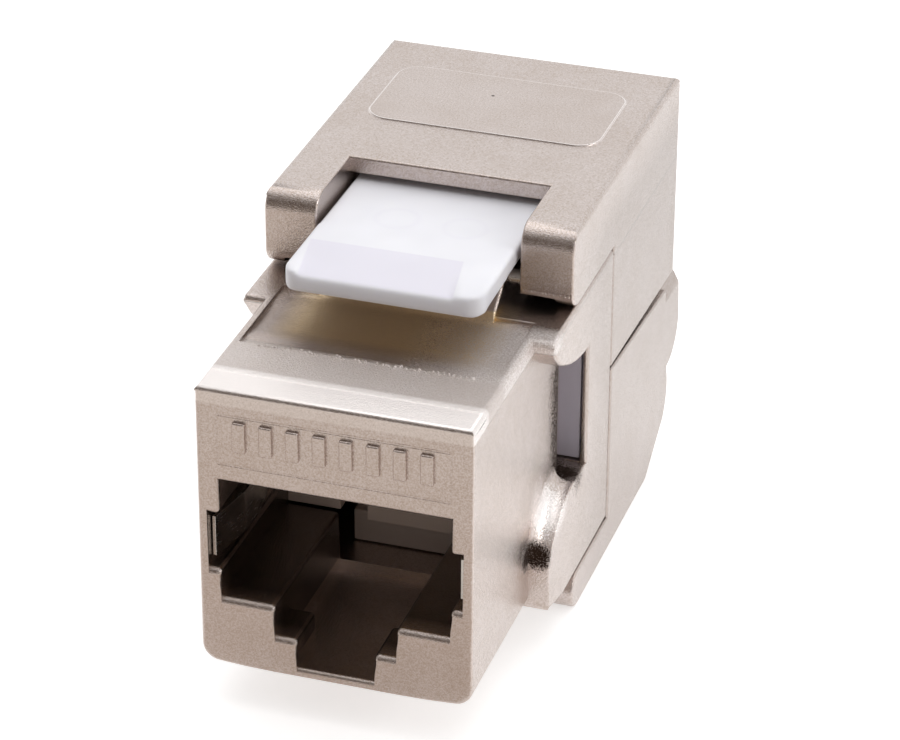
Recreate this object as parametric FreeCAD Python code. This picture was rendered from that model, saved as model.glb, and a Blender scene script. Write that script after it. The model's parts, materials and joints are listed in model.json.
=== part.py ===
import FreeCAD, Part
import math
import os

# Shielded tool-less keystone jack, millimetres.
# Working axes: X to the right seen from the front, Y from the front face to the back,
# Z up, with z = 0 at the bottom of the front block. write_part() moves every piece so that
# the origin ends at the bottom centre of the overall box.

# ---- front block and port ----
block_width = 14.5
block_height = 16.0
block_corner = 0.95
block_top_corner = 0.3
block_brow = 0.25
front_wall = 1.3
port_half = 6.09
port_top = 10.77
port_depth = 9.95
notch_half = 6.74
notch_low = 5.56
notch_high = 8.85
port_floor = 3.9
step_half = 3.25
step_floor = 2.1
slot_half = 2.085
slot_floor = 0.45
latch_ledge = 2.95
lip_radius = 0.38
slot_lip_radius = 0.25

# ---- housing behind the block ----
body_width = 16.74
seam_y = 20.8
belly_z = -0.48
belly_front = 9.8
belly_full = 12.4
belly_rise = 0.58
cheek_front = 9.6
cheek_corner_z = 3.15
flare_share = 0.94
lobe_run = 2.0
lobe_sag = 0.7
lobe_top_y = 14.0
lobe_top = 5.55
lobe_fall = 0.15
arm_thick = 3.6
arm_nose = 0.2
arm_nose_radius = 0.3
arm_run = 4.4
arm_sag = 0.3
arm_throat = 1.15
arm_chin = 2.2
arm_chin_in = 0.7
post_front = 16.4
chamber_half = 6.35
chamber_floor = 0.95
chamber_roof = 1.25
window_front = 15.4
post_wall = 0.34
window_margin = 0.1
wall_roll = 0.95
top_recess_front = 5.1
top_recess_back = 11.6
top_recess_depth = 0.3
top_recess_step = 0.16
top_recess_half = 6.75
catch_front = 5.6
catch_back = 7.9
catch_drop = 1.3
catch_half = 5.2

# ---- web that carries the latch lever and the upper hinge ----
web_half = 4.7
web_foot = 11.0
web_crest = 13.7
web_back = 20.55
web_ramp = 1.5
web_ramp_rise = 1.2
web_root = 0.3
web_shelf = 0.9
web_pin_cover = 0.16
web_gap = 0.17

# ---- gaps and fits ----
seam_gap = 0.1
fit = 0.02
pin_fit = 0.04
slip = 0.06
board_gap = 0.1

# ---- upper cover ----
cover_rise = 4.46
cover_back = 33.9
cover_wall = 1.0
cover_plate = 0.96
cover_rear_wall = 1.2
ear_front = 13.1
ear_nose = 1.05
ear_brow = 1.2
ear_inner = 5.5
ear_lift = 0.55
notch_back = 18.37
split_z = 8.4
split_rise = 0.42
split_fall = 0.1
rear_corner = 0.6
shoulder = 0.4
label_half = 6.5
label_front = 23.3
label_back = 30.4
label_corner = 1.3
label_rise = 0.06

# ---- lower cover ----
jaw_proud = 0.05
jaw_front = 14.05
jaw_nose = 1.05
jaw_back = 33.1
jaw_wedge = 0.4
jaw_chamfer_y = 29.0
jaw_chamfer_z = -0.6
jaw_waist = 2.4
jaw_tuck = 0.6
cavity_toe = 1.4
tab_inner = 7.5
tab_front = 30.6
tab_back = 35.45
tab_low = 2.6
tab_heel = 3.1
tab_heel_in = 0.9
tab_root_in = 0.4
tab_belly = 4.9
tab_tip = 0.3
tab_bevel_front = 32.2
tab_bevel_drop = 0.8
tab_bevel_in = 0.45
knuckle_half = 4.4
knuckle_radius = 0.85
exit_radius = 3.6

# ---- hinge pins ----
pin_radius = 0.4
pin_skin = 0.77

# ---- latch lever ----
lever_half = 5.3
lever_front = 7.1
lever_back = 19.9
lever_clear = 2.25
lever_thick = 0.87
lever_rise = 0.16
lever_drop = 0.17
lever_edge = 0.3
lever_corner = 1.0
lever_root_corner = 0.3
lever_bend = 12.6
scoop_back = 10.9
scoop_back_left = -4.95
scoop_back_right = 3.15
scoop_front_left = -4.4
scoop_front_right = 3.9
scoop_depth = 0.2
bead_y = 18.2
bead_radius = 0.6

# ---- contact carrier, contacts and board ----
contact_pitch = 1.016
contact_width = 0.42
contact_thick = 0.3
contact_bend = 0.9
contact_sink = 0.85
contact_front = 1.75
contact_tip_y = 9.3
contact_tip_z = 9.15
contact_tail = 0.5
carrier_thick = 2.45
carrier_front = 3.0
insert_back = 20.4
insert_wing_front = 16.55
insert_wing_gap = 0.1
nose_slot_left = -3.2
nose_slot_right = -1.75
nose_slot_top = 9.0
nose_slot_depth = 2.6
nose_lip = 0.3
comb_back = 10.6
comb_low = 8.4
board_thick = 1.2
board_half = 6.2
board_margin_low = 0.25
board_margin_high = 0.15

# ---- insulation displacement block and wire manager ----
idc_length = 4.4
idc_half = 6.1
idc_drop = 6.2
idc_rise = 5.8
terminal_pitch = 3.1
terminal_width = 1.7
terminal_thick = 0.4
terminal_row = 3.0
terminal_stub = 0.6
terminal_reach = 2.4
terminal_slot = 0.32
tail_width = 0.5
manager_length = 5.2
manager_half = 6.6
manager_half_height = 6.8
manager_corner = 1.0
manager_bore = 3.3
manager_floor = 1.4
wire_channel = 1.3

# ---- earthing springs in the port's side notches ----
spring_thick = 0.2
spring_height = 2.3
spring_front = 0.5
spring_back = 8.6
spring_bow = 0.55

body_half = body_width / 2
jaw_half = body_half + jaw_proud
pin_blind = body_half - pin_skin
window_half = body_half - post_wall
arm_low = block_height - arm_thick
chamber_top = block_height - chamber_roof
contact_run_z = chamber_top - contact_sink
carrier_bottom = chamber_top - carrier_thick
cover_top = block_height + cover_rise
lever_low = block_height + lever_clear
lever_top = lever_low + lever_thick
upper_axis_y = ear_front + ear_nose
upper_axis_z = block_height + seam_gap + ear_nose
lower_axis_y = jaw_front + jaw_nose
lower_axis_z = belly_z - seam_gap - jaw_nose
jaw_bottom = lower_axis_z - jaw_nose
bead_z = lever_low - bead_radius / 2
board_front = insert_back + board_gap
board_back = board_front + board_thick
idc_front = board_back + board_gap
idc_back = idc_front + idc_length
manager_front = idc_back + board_gap
manager_back = manager_front + manager_length
cheek_flare = flare_share * (body_half - block_width / 2)
lobe_arc = ((cheek_front, cheek_corner_z), (cheek_front + lobe_run, lobe_top - lobe_sag),
            (lobe_top_y, lobe_top))
board_low = chamber_floor + board_margin_low
board_high = chamber_top - board_margin_high
idc_low = split_z - idc_drop
idc_high = split_z + idc_rise
manager_low = split_z - manager_half_height
manager_high = split_z + manager_half_height
split_front_z = split_z + split_rise
split_back_z = split_z - split_fall


def point(plane, a, b):
    if plane == "yz":
        return FreeCAD.Vector(0, a, b)
    if plane == "xz":
        return FreeCAD.Vector(a, 0, b)
    return FreeCAD.Vector(a, b, 0)


def outline(plane, *steps):
    """Closed face: each step is a point (straight line) or a pair (arc through, to)."""
    here = point(plane, *steps[0])
    first = here
    edges = []
    for step in steps[1:]:
        if isinstance(step[0], tuple):
            through = point(plane, *step[0])
            end = point(plane, *step[1])
            edges.append(Part.Arc(here, through, end).toShape())
        else:
            end = point(plane, *step)
            edges.append(Part.LineSegment(here, end).toShape())
        here = end
    if here.distanceToPoint(first) > 1e-6:
        edges.append(Part.LineSegment(here, first).toShape())
    return Part.Face(Part.Wire(edges))


def prism(plane, low, high, *steps):
    """The outline stretched from low to high along the axis square to its plane."""
    normal = {"yz": (1, 0, 0), "xz": (0, 1, 0), "xy": (0, 0, 1)}[plane]
    along = FreeCAD.Vector(*normal)
    face = outline(plane, *steps)
    face.translate(along * low)
    return face.extrude(along * (high - low))


def box(x0, x1, y0, y1, z0, z1):
    corner = FreeCAD.Vector(x0, y0, z0)
    return Part.makeBox(x1 - x0, y1 - y0, z1 - z0, corner)


def bar(radius, x0, x1, y, z):
    """A round bar along X."""
    start = FreeCAD.Vector(x0, y, z)
    return Part.makeCylinder(radius, x1 - x0, start, FreeCAD.Vector(1, 0, 0))


def corner_arc(cy, cz, radius, start, end):
    """Arc step about (cy, cz) between two angles in degrees."""
    def at(angle):
        a = math.radians(angle)
        return (cy + radius * math.cos(a), cz + radius * math.sin(a))
    return (at((start + end) / 2), at(end))


def rounded_rectangle(plane, low, high, a0, a1, b0, b1, r_low, r_high):
    """Prism of a rectangle with one radius at its lower and one at its upper corners."""
    return prism(plane, low, high,
                 (a0 + r_low, b0), (a1 - r_low, b0),
                 corner_arc(a1 - r_low, b0 + r_low, r_low, -90, 0), (a1, b1 - r_high),
                 corner_arc(a1 - r_high, b1 - r_high, r_high, 0, 90), (a0 + r_high, b1),
                 corner_arc(a0 + r_high, b1 - r_high, r_high, 90, 180), (a0, b0 + r_low),
                 corner_arc(a0 + r_low, b0 + r_low, r_low, 180, 270))


def strip(plane, low, high, thick, bends):
    """A bent strip of even thickness; bends are (a, b, bend radius of the middle line)."""
    n = len(bends)
    sides = [[], []]
    for i, (a, b, radius) in enumerate(bends):
        here = FreeCAD.Vector(a, b, 0)
        before = FreeCAD.Vector(*bends[max(i - 1, 0)][:2], 0)
        after = FreeCAD.Vector(*bends[min(i + 1, n - 1)][:2], 0)
        if i in (0, n - 1):
            way = (after - before).normalize()
            across = FreeCAD.Vector(-way.y, way.x, 0)
            for side, sign in zip(sides, (0.5, -0.5)):
                p = here + across * (sign * thick)
                side.append((p, None, p))
            continue
        come = (here - before).normalize()
        go = (after - here).normalize()
        turn = come.getAngle(go)
        left = (come.x * go.y - come.y * go.x) > 0
        inward = (go - come).normalize()
        centre = here + inward * (radius / math.cos(turn / 2))
        set_back = radius * math.tan(turn / 2)
        starts = here - come * set_back
        ends = here + go * set_back
        for side, sign in zip(sides, (0.5, -0.5)):
            grow = -sign * thick if left else sign * thick
            scale = (radius + grow) / radius
            middle = centre - inward * (radius + grow)
            side.append((centre + (starts - centre) * scale, middle,
                         centre + (ends - centre) * scale))
    steps = [tuple(sides[0][0][0])[:2]]
    for entry, middle, leave in sides[0][1:]:
        steps.append(tuple(entry)[:2])
        if middle is not None:
            steps.append((tuple(middle)[:2], tuple(leave)[:2]))
    for entry, middle, leave in reversed(sides[1]):
        steps.append(tuple(leave)[:2])
        if middle is not None:
            steps.append((tuple(middle)[:2], tuple(entry)[:2]))
    clean = [steps[0]]
    for step in steps[1:]:
        if step != clean[-1]:
            clean.append(step)
    return prism(plane, low, high, *clean)


def mirrored(shape):
    return shape.mirror(FreeCAD.Vector(0, 0, 0), FreeCAD.Vector(1, 0, 0))


def both_sides(shape):
    return [shape, mirrored(shape)]


# ---------------------------------------------------------------- front housing


def cheek_profile():
    """Side outline of arm, post and lobe: a C that is open to the front."""
    nose_y = cheek_front + arm_nose
    return prism("yz", -body_half, body_half,
                 (nose_y + arm_nose_radius, block_height), (seam_y, block_height),
                 (seam_y, belly_z), (belly_full, belly_z),
                 (belly_front, belly_z + belly_rise), lobe_arc[0], lobe_arc[1:],
                 (post_front, lobe_top - lobe_fall), (post_front, arm_low),
                 ((post_front - arm_run / 2, arm_low + arm_sag),
                  (post_front - arm_run, arm_low + arm_throat)),
                 ((nose_y + arm_chin_in, arm_low + arm_chin),
                  (nose_y, block_height - arm_nose_radius)),
                 corner_arc(nose_y + arm_nose_radius, block_height - arm_nose_radius,
                            arm_nose_radius, 180, 90))


def lip_cut(x0, x1, floor, radius):
    """Rounds the front edge of a floor that ends in the front face."""
    return prism("yz", x0, x1,
                 (-1, floor - radius), (0, floor - radius),
                 corner_arc(radius, floor - radius, radius, 180, 90),
                 (radius, floor + radius), (-1, floor + radius))


def port_cut():
    """Plug opening with side notches and the stepped floor."""
    right = [(port_half, port_top), (port_half, notch_high), (notch_half, notch_high),
             (notch_half, notch_low), (port_half, notch_low), (port_half, port_floor),
             (step_half, port_floor), (step_half, step_floor),
             (slot_half, step_floor), (slot_half, slot_floor)]
    left = [(-x, z) for x, z in reversed(right)]
    opening = prism("xz", -1, port_depth, *(right + left))
    channel = box(-step_half, step_half, latch_ledge, port_depth, slot_floor, port_floor)
    lips = [lip_cut(-slot_half, slot_half, slot_floor, slot_lip_radius)]
    for x0, x1, floor in ((slot_half, step_half, step_floor),
                          (step_half, port_half, port_floor),
                          (port_half, notch_half, notch_low)):
        lips += both_sides(lip_cut(x0, x1, floor, lip_radius))
    return [opening, channel] + lips


def chamber_cuts():
    """Room for the contact carrier, open to the rear, and its two side windows."""
    rear = seam_y + 1
    cuts = [box(-port_half, port_half, front_wall, port_depth, port_floor, chamber_top),
            box(-chamber_half, chamber_half, port_depth, rear, chamber_floor, chamber_top),
            box(-window_half, window_half, window_front, rear,
                lobe_top - window_margin, arm_low - window_margin)]
    skin = block_width / 2
    roll = prism("xy", lobe_top - window_margin, arm_low - window_margin,
                 (skin, window_front - wall_roll), (skin + 0.05, window_front - wall_roll),
                 (skin + 0.05, window_front + 0.05), (skin - wall_roll, window_front + 0.05),
                 (skin - wall_roll, window_front),
                 corner_arc(skin - wall_roll, window_front - wall_roll, wall_roll, 90, 0))
    return cuts + both_sides(roll)


def top_recess_cut():
    """Shallow hollow across the top between the front strip and the web."""
    chord = (top_recess_back - top_recess_front) / 2
    radius = (chord ** 2 + top_recess_depth ** 2) / (2 * top_recess_depth)
    middle = (top_recess_front + top_recess_back) / 2
    centre_z = block_height - top_recess_depth + radius
    floor = block_height - top_recess_step
    return [bar(radius, -top_recess_half, top_recess_half, middle, centre_z),
            box(-top_recess_half, top_recess_half, top_recess_front, top_recess_back,
                floor, block_height + 1)]


def latch_web():
    """Central web: concave ramp, bearing for the upper pin, groove for the lever's bead."""
    root = block_height - web_root
    crest = upper_axis_z + pin_radius + web_pin_cover
    seat = lever_low - web_gap
    web = prism("yz", -web_half, web_half,
                (web_foot, root),
                ((web_foot + web_ramp, root + web_ramp_rise), (web_crest, crest)),
                (upper_axis_y + pin_radius, crest), (bead_y - web_shelf, seat),
                (web_back, seat), (web_back, root))
    groove = bar(bead_radius + slip, -web_half - 1, web_half + 1, bead_y, bead_z)
    return web.cut(groove)


def brow_cut():
    """Rounds the top front edge of the block."""
    low = block_height - block_brow
    return prism("yz", -block_width, block_width,
                 (-1, low), (0, low), corner_arc(block_brow, low, block_brow, 180, 90),
                 (block_brow, block_height + 1), (-1, block_height + 1))


def lobe_flare():
    """Hollow flare where the right lobe springs from the block's side."""
    arc = Part.Arc(*[point("yz", *p) for p in lobe_arc]).toShape().Curve
    skin = block_width / 2
    near, far = arc.Radius, arc.Radius + cheek_flare
    bite = cheek_flare / 8
    hollow = cheek_flare * (1 - math.sqrt(0.5))
    section = outline("xy", (skin - bite, near - bite), (skin - bite, far), (skin, far),
                      ((skin + hollow, near + hollow), (skin + cheek_flare, near)),
                      (skin + cheek_flare, near - bite))
    section.translate(arc.Center)
    angles = [math.degrees(math.atan2(z - arc.Center.z, y - arc.Center.y))
              for y, z in (lobe_arc[2], lobe_arc[0])]
    along = FreeCAD.Vector(1, 0, 0)
    section.rotate(arc.Center, along, angles[0])
    return section.revolve(arc.Center, along, angles[1] - angles[0])


def front_housing():
    half = block_width / 2
    block = rounded_rectangle("xz", 0, seam_y, -half, half, 0, block_height,
                              block_corner, block_top_corner).cut(brow_cut())
    catch = prism("yz", -catch_half, catch_half,
                  (catch_front, 0.1), (catch_front, -catch_drop / 2),
                  (catch_front + catch_drop / 2, -catch_drop), (catch_back, -catch_drop),
                  (catch_back, 0.1))
    knuckle = bar(knuckle_radius, -knuckle_half, knuckle_half, lower_axis_y, lower_axis_z)
    neck = box(-knuckle_half, knuckle_half, lower_axis_y - knuckle_radius,
               lower_axis_y + knuckle_radius, lower_axis_z, belly_z + 0.1)
    body = block.fuse([cheek_profile(), catch, knuckle, neck] + both_sides(lobe_flare()))
    body = body.cut(top_recess_cut())
    body = body.fuse([latch_web()])
    hole = pin_radius + fit
    bores = [bar(hole, -web_half - 1, web_half + 1, upper_axis_y, upper_axis_z),
             bar(hole, -knuckle_half - 1, knuckle_half + 1, lower_axis_y, lower_axis_z)]
    return body.cut(port_cut() + chamber_cuts() + bores).removeSplitter()


# ---------------------------------------------------------------- covers


def exit_cut():
    """Round way out for the cable, shared by both covers."""
    start = FreeCAD.Vector(0, jaw_back - 2 * cover_rear_wall, split_z)
    return Part.makeCylinder(exit_radius, 4 * cover_rear_wall, start,
                             FreeCAD.Vector(0, 1, 0))


def upper_cover():
    half = body_half
    under_ear = upper_axis_z - ear_nose
    side = prism("yz", -half, half,
                 (upper_axis_y, under_ear), (seam_y + seam_gap, under_ear),
                 (seam_y + seam_gap, split_front_z + seam_gap / 2),
                 (cover_back, split_back_z + seam_gap / 2),
                 (cover_back, cover_top - rear_corner),
                 corner_arc(cover_back - rear_corner, cover_top - rear_corner, rear_corner, 0, 90),
                 (ear_front + ear_brow, cover_top),
                 corner_arc(ear_front + ear_brow, cover_top - ear_brow, ear_brow, 90, 180),
                 (ear_front, upper_axis_z),
                 corner_arc(upper_axis_y, upper_axis_z, ear_nose, 180, 270))
    front_view = rounded_rectangle("xz", ear_front - 1, cover_back + 1, -half, half,
                                   0, cover_top, 0.01, shoulder)
    cover = side.common(front_view)
    inner = half - cover_wall
    under = cover_top - cover_plate
    ear_low = under_ear + ear_lift
    pocket = box(ear_inner + cover_wall, inner, upper_axis_y + ear_nose, seam_y + 1,
                 split_z, under)
    label = rounded_rectangle("xy", cover_top - cover_plate / 2, cover_top + label_rise,
                              -label_half, label_half, label_front, label_back,
                              label_corner, label_corner)
    cuts = [box(-ear_inner, ear_inner, ear_front - 1, notch_back, split_z, cover_top + 1),
            box(-ear_inner, ear_inner, notch_back - 1, seam_y + 1, split_z, under),
            box(-inner, inner, ear_front - 1, seam_y + 1, split_z, ear_low),
            box(-inner, inner, seam_y, cover_back - cover_rear_wall, split_z - 1, under),
            exit_cut(),
            bar(pin_radius + pin_fit, -half - 1, pin_blind + seam_gap,
                upper_axis_y, upper_axis_z)]
    return cover.cut(cuts + both_sides(pocket)).fuse(label).removeSplitter()


def side_tab():
    """Finger tab: the right wall of the lower cover runs on past its rear."""
    high = split_back_z - jaw_wedge
    tab = prism("yz", tab_inner, jaw_half,
                (tab_front, tab_low), (jaw_back - tab_root_in, tab_low),
                ((tab_back - tab_heel_in, tab_heel), (tab_back, tab_belly)),
                (tab_back - tab_tip, high - tab_tip),
                corner_arc(tab_back - tab_tip * 2, high - tab_tip, tab_tip, 0, 90),
                (tab_front, high))
    bevel = prism("xz", tab_bevel_front, tab_back + 1,
                  (jaw_half - tab_bevel_in, high), (jaw_half, high - tab_bevel_drop),
                  (jaw_half + 1, high - tab_bevel_drop), (jaw_half + 1, high + 1),
                  (jaw_half - tab_bevel_in, high + 1))
    return tab, bevel


def lower_cover():
    top = lower_axis_z + jaw_nose
    side = prism("yz", -jaw_half, jaw_half,
                 (lower_axis_y, top), (seam_y + seam_gap, top),
                 (seam_y + seam_gap, split_front_z - seam_gap / 2),
                 (jaw_back, split_back_z - jaw_wedge),
                 (jaw_back, jaw_waist),
                 ((jaw_back - jaw_tuck / 4, jaw_chamfer_z + jaw_tuck),
                  (jaw_back - jaw_tuck, jaw_chamfer_z)),
                 (jaw_chamfer_y, jaw_bottom), (lower_axis_y, jaw_bottom),
                 ((lower_axis_y - jaw_nose, lower_axis_z), (lower_axis_y, top)))
    tab, bevel = side_tab()
    cover = side.fuse(both_sides(tab))
    inner = body_half - cover_wall
    floor = jaw_bottom + cover_wall
    cavity = prism("yz", -inner, inner,
                   (seam_y, top), (seam_y + cavity_toe, floor),
                   (jaw_chamfer_y - jaw_tuck, floor),
                   (jaw_back - cover_rear_wall - jaw_tuck, jaw_chamfer_z + jaw_tuck),
                   (jaw_back - cover_rear_wall, jaw_waist),
                   (jaw_back - cover_rear_wall, split_z + 1), (seam_y, split_z + 1))
    notch = box(-knuckle_half - seam_gap, knuckle_half + seam_gap, jaw_front - 1,
                lower_axis_y + knuckle_radius + seam_gap * 2, jaw_bottom - 1, top + 1)
    hinge = bar(pin_radius + pin_fit, -jaw_half - 1, pin_blind + seam_gap,
                lower_axis_y, lower_axis_z)
    cuts = [cavity, notch, hinge, exit_cut()] + both_sides(bevel)
    return cover.cut(cuts).removeSplitter()


def hinge_pin(y, z):
    return bar(pin_radius, -body_half, pin_blind, y, z)


# ---------------------------------------------------------------- latch lever


def latch_lever():
    """Pressed plate on a round bead: thicker at the tip, with a sloping thumb rest."""
    tip_top = lever_top + lever_rise
    tip_low = lever_low - lever_drop
    edge = lever_edge
    side = prism("yz", -lever_half, lever_half,
                 (lever_front + edge, tip_low), (lever_bend, lever_low),
                 (lever_back, lever_low), (lever_back, lever_top),
                 (lever_front + edge, tip_top),
                 corner_arc(lever_front + edge, tip_top - edge, edge, 90, 180),
                 (lever_front, tip_low + edge),
                 corner_arc(lever_front + edge, tip_low + edge, edge, 180, 270))
    plan = rounded_rectangle("xy", tip_low - 1, tip_top + 1, -lever_half, lever_half,
                             lever_front, lever_back, lever_corner, lever_root_corner)
    slope = prism("yz", -lever_half, lever_half,
                  (lever_front - 1, tip_top - scoop_depth),
                  (lever_front, tip_top - scoop_depth),
                  (scoop_back, tip_top), (scoop_back, tip_top + 1),
                  (lever_front - 1, tip_top + 1))
    rest = prism("xy", tip_low, tip_top + 1,
                 (scoop_front_left, lever_front - 1), (scoop_front_right, lever_front - 1),
                 (scoop_front_right, lever_front), (scoop_back_right, scoop_back),
                 (scoop_back_left, scoop_back), (scoop_front_left, lever_front))
    bead = bar(bead_radius, -web_half + slip, web_half - slip, bead_y, bead_z)
    return side.common(plan).cut(slope.common(rest)).fuse(bead).removeSplitter()


# ---------------------------------------------------------------- contacts and inner parts


def contact_x(index):
    return (index - 4.5) * contact_pitch


def terminal_place(index):
    column = (index - 1) % 4
    row = 1 if index > 4 else -1
    return (column - 1.5) * terminal_pitch, split_z + row * terminal_row


def contact(index):
    """Bent contact spring: through the board, along the carrier, round and back down."""
    x = contact_x(index)
    low = contact_run_z - 2 * contact_bend
    return strip("yz", x - contact_width / 2, x + contact_width / 2, contact_thick,
                 [(board_back + contact_tail, contact_run_z, 0),
                  (contact_front + 0.15, contact_run_z, contact_bend),
                  (contact_front + 0.15, low - 0.2, contact_bend * 0.7),
                  (contact_tip_y, contact_tip_z, 0)])


def insert_body():
    """White carrier: top plate with contact grooves, rear block, side wings, port nose."""
    top = chamber_top - slip
    half = chamber_half - slip
    front = port_depth + slip / 2
    plate = box(-port_half + slip, port_half - slip, carrier_front, front + 0.1,
                carrier_bottom, top)
    block = box(-half, half, front, insert_back, port_floor + slip, top)
    foot = box(-step_half + slip, step_half - slip, front + 2, insert_back,
               chamber_floor + slip, port_floor + slip)
    lip = box(nose_slot_right, step_half - slip, front, front + 1,
              port_floor - nose_lip, port_floor + slip)
    wings = box(-window_half + insert_wing_gap, window_half - insert_wing_gap,
                insert_wing_front, insert_back,
                lobe_top - window_margin + slip, arm_low - window_margin - slip)
    body = plate.fuse([block, foot, lip, wings])
    slot = box(nose_slot_left, nose_slot_right, front - 1, front + nose_slot_depth,
               port_floor - 1, nose_slot_top)
    cuts = [slot]
    for index in range(1, 9):
        x = contact_x(index)
        side = contact_width / 2 + slip
        cuts.append(box(x - side, x + side, carrier_front - 1, insert_back + 1,
                        contact_run_z - contact_thick / 2 - slip, top + 1))
        cuts.append(box(x - side, x + side, front - 1, comb_back, comb_low, carrier_bottom))
    return body.cut(cuts).removeSplitter()


def circuit_board():
    board = box(-board_half, board_half, board_front, board_back, board_low, board_high)
    holes = []
    for index in range(1, 9):
        x = contact_x(index)
        side = contact_width / 2 + slip
        rise = contact_thick / 2 + slip
        holes.append(box(x - side, x + side, board_front - 1, board_back + 1,
                         contact_run_z - rise, contact_run_z + rise))
        x, z = terminal_place(index)
        side = tail_width / 2 + slip
        rise = terminal_thick / 2 + slip
        holes.append(box(x - side, x + side, board_front - 1, board_back + 1,
                         z - rise, z + rise))
    return board.cut(holes)


def idc_block():
    block = box(-idc_half, idc_half, idc_front, idc_back, idc_low, idc_high)
    lip = contact_run_z - contact_thick / 2 - slip
    cuts = [box(-idc_half - 1, idc_half + 1, idc_front - 1,
                idc_front + contact_tail + slip, lip, lip + idc_rise)]
    for index in range(1, 9):
        x, z = terminal_place(index)
        side = terminal_width / 2 + slip
        rise = terminal_thick / 2 + slip
        cuts.append(box(x - side, x + side, idc_front - 1, idc_back + 1,
                        z - rise, z + rise))
    middle = split_z
    reach = terminal_row - 1.0
    cuts.append(box(-idc_half + 1, idc_half - 1, idc_front + 1.2, idc_back + 1,
                    middle - reach, middle + reach))
    return block.cut(cuts)


def idc_terminal(index):
    """Forked blade: tail through the board, body in the block, fork in the manager."""
    x, z = terminal_place(index)
    half = terminal_width / 2
    tail = tail_width / 2
    gap = terminal_slot / 2
    end = idc_back + terminal_reach
    tip = half - 0.35
    right = [(tail, board_front - board_gap / 2), (tail, idc_front + terminal_stub),
             (half, idc_front + terminal_stub), (half, end - 0.7), (tip, end),
             (gap + 0.2, end), (gap, end - 0.5), (gap, idc_back - 0.4)]
    left = [(-a, b) for a, b in reversed(right)]
    steps = right + [((0, idc_back - 0.4 - gap), left[0])] + left[1:]
    blade = prism("xy", z - terminal_thick / 2, z + terminal_thick / 2, *steps)
    blade.translate(FreeCAD.Vector(x, 0, 0))
    return blade


def wire_manager():
    """Plastic cap that lays eight wires across the forks, four above and four below."""
    cap = rounded_rectangle("xz", manager_front, manager_back, -manager_half, manager_half,
                            manager_low, manager_high, manager_corner, manager_corner)
    start = FreeCAD.Vector(0, manager_front + manager_floor, split_z)
    bore = Part.makeCylinder(manager_bore, manager_length, start, FreeCAD.Vector(0, 1, 0))
    cuts = [bore]
    for index in range(1, 9):
        x, z = terminal_place(index)
        side = terminal_width / 2 + slip
        rise = terminal_thick / 2 + slip
        pocket_back = idc_back + terminal_reach + slip
        cuts.append(box(x - side, x + side, manager_front - 1, pocket_back,
                        z - rise, z + rise))
        outward = manager_high + 1 if z > split_z else manager_low - 1
        low, high = sorted((z, outward))
        cuts.append(box(x - wire_channel / 2, x + wire_channel / 2,
                        manager_front + manager_floor, manager_back + 1, low, high))
    return cap.cut(cuts).removeSplitter()


def ground_spring():
    """Bowed earthing spring in the right notch; it touches a shielded plug's side."""
    middle = (notch_low + notch_high) / 2
    seat = notch_half - spring_thick / 2 - slip
    bow = seat - spring_bow
    length = spring_back - spring_front
    return strip("xy", middle - spring_height / 2, middle + spring_height / 2, spring_thick,
                 [(seat, spring_front, 0), (bow, spring_front + length * 0.35, 2.0),
                  (bow, spring_front + length * 0.6, 2.0), (seat, spring_back, 0)])


def pieces():
    parts = {
        "front_housing": front_housing(),
        "upper_cover": upper_cover(),
        "lower_cover": lower_cover(),
        "upper_hinge_pin": hinge_pin(upper_axis_y, upper_axis_z),
        "lower_hinge_pin": hinge_pin(lower_axis_y, lower_axis_z),
        "latch_lever": latch_lever(),
        "insert_body": insert_body(),
        "circuit_board": circuit_board(),
        "idc_block": idc_block(),
        "wire_manager": wire_manager(),
        "ground_spring_right": ground_spring(),
        "ground_spring_left": mirrored(ground_spring()),
    }
    for index in range(1, 9):
        parts["contact_%d" % index] = contact(index)
        parts["idc_terminal_%d" % index] = idc_terminal(index)
    return parts


def write_part():
    os.makedirs("parts", exist_ok=True)
    origin = FreeCAD.Vector(0, tab_back / 2, jaw_bottom)
    for name, shape in pieces().items():
        shape.translate(-origin)
        shape.exportStep("parts/%s.step" % name)
        print(name, "valid", shape.isValid(), "solids", len(shape.Solids),
              "volume %.2f" % shape.Volume)


write_part()
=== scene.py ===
import json
import math
from functools import reduce

import bmesh
import bpy
from bpy.props import FloatProperty, FloatVectorProperty, IntProperty, PointerProperty
from mathutils import Matrix, Vector
from mathutils.bvhtree import BVHTree


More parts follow.
